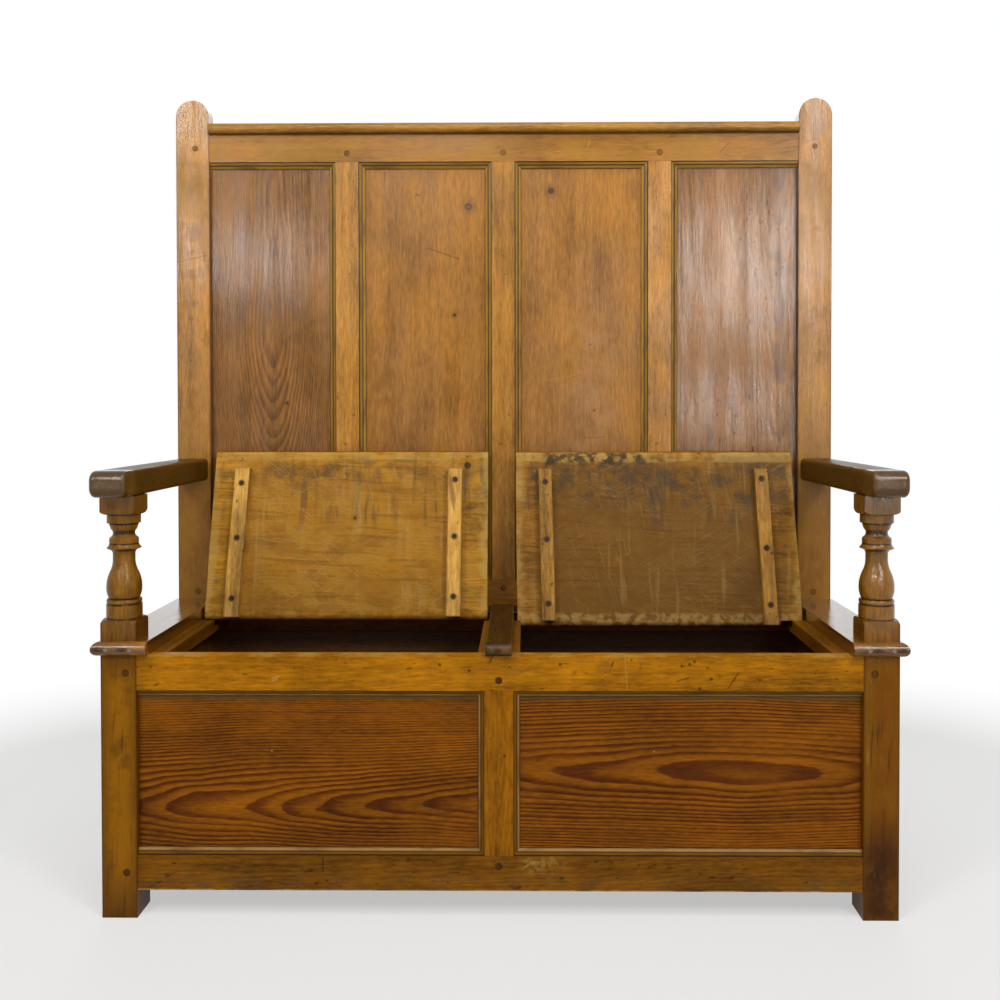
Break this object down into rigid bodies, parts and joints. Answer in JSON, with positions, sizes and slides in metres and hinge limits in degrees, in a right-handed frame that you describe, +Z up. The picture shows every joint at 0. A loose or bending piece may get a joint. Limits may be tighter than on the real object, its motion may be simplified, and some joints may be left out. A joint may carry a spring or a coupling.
{
  "type": "settle bench",
  "caption": "Panelled wooden settle with a storage box seat, lift-up lids and turned arm supports.",
  "frame": {"origin": "on the floor under the middle of the overall box", "axes": "+Z up, -Y towards the front that the sitter faces, +X to the right in a front view"},
  "size_m": [1.376, 0.478, 1.5019],
  "materials": {
    "waxed_pine": "waxed satin",
    "dark_waxed_pine": "polished wax",
    "pitch_pine": "waxed satin",
    "bare_pine": "unfinished, aged",
    "dark_iron": "aged",
    "steel_rod": "dulled"
  },
  "bodies": {
    "settle": {"arm_left": "dark_waxed_pine", "arm_right": "dark_waxed_pine", "back_bottom_rail": "waxed_pine", "back_frame_pegs": "waxed_pine", "back_muntin_centre": "waxed_pine", "back_muntin_left": "waxed_pine", "back_muntin_right": "waxed_pine", "back_panel_inner_left": "waxed_pine", "back_panel_inner_right": "waxed_pine", "back_panel_outer_left": "pitch_pine", "back_panel_outer_right": "pitch_pine", "back_post_left": "waxed_pine", "back_post_right": "waxed_pine", "back_seat_rail": "waxed_pine", "back_top_rail": "waxed_pine", "cap_strip_peg": "waxed_pine", "centre_bearer": "bare_pine", "centre_cap_strip": "dark_waxed_pine", "crest_capping": "waxed_pine", "floor_bearers": "bare_pine", "floor_board_front": "bare_pine", "floor_board_middle": "bare_pine", "floor_board_rear": "bare_pine", "front_bottom_rail": "waxed_pine", "front_frame_pegs": "waxed_pine", "front_muntin": "waxed_pine", "front_panel_left": "pitch_pine", "front_panel_right": "pitch_pine", "front_post_left": "dark_waxed_pine", "front_post_right": "dark_waxed_pine", "front_top_rail": "waxed_pine", "lid_ledge_left": "bare_pine", "lid_ledge_right": "bare_pine", "lid_pivot_pins": "steel_rod", "lower_back_muntin": "bare_pine", "lower_back_panel_left": "bare_pine", "lower_back_panel_right": "bare_pine", "nosing_nails": "dark_iron", "seat_end_board_left": "dark_waxed_pine", "seat_end_board_right": "dark_waxed_pine", "seat_nosing_left": "dark_waxed_pine", "seat_nosing_right": "dark_waxed_pine", "seat_rear_board": "waxed_pine", "side_bottom_rail_left": "waxed_pine", "side_bottom_rail_right": "waxed_pine", "side_frame_pegs": "waxed_pine", "side_panel_left": "pitch_pine", "side_panel_right": "pitch_pine", "side_top_rail_left": "waxed_pine", "side_top_rail_right": "waxed_pine"},
    "left_lid": {"left_lid_board": "bare_pine", "left_lid_inner_batten": "bare_pine", "left_lid_outer_batten": "bare_pine", "left_lid_screws": "dark_iron"},
    "right_lid": {"right_lid_board": "bare_pine", "right_lid_inner_batten": "bare_pine", "right_lid_outer_batten": "bare_pine", "right_lid_screws": "dark_iron"}
  },
  "joints": [
    {"name": "left_lid_hinge", "type": "hinge", "parent": "settle", "child": "left_lid", "pos_m": [-0.31075, 0.125, 0.4602], "axis": [1, 0, 0], "range_deg": [0, 103.45]},
    {"name": "right_lid_hinge", "type": "hinge", "parent": "settle", "child": "right_lid", "pos_m": [0.31125, 0.122, 0.4602], "axis": [1, 0, 0], "range_deg": [0, 101]}
  ]
}
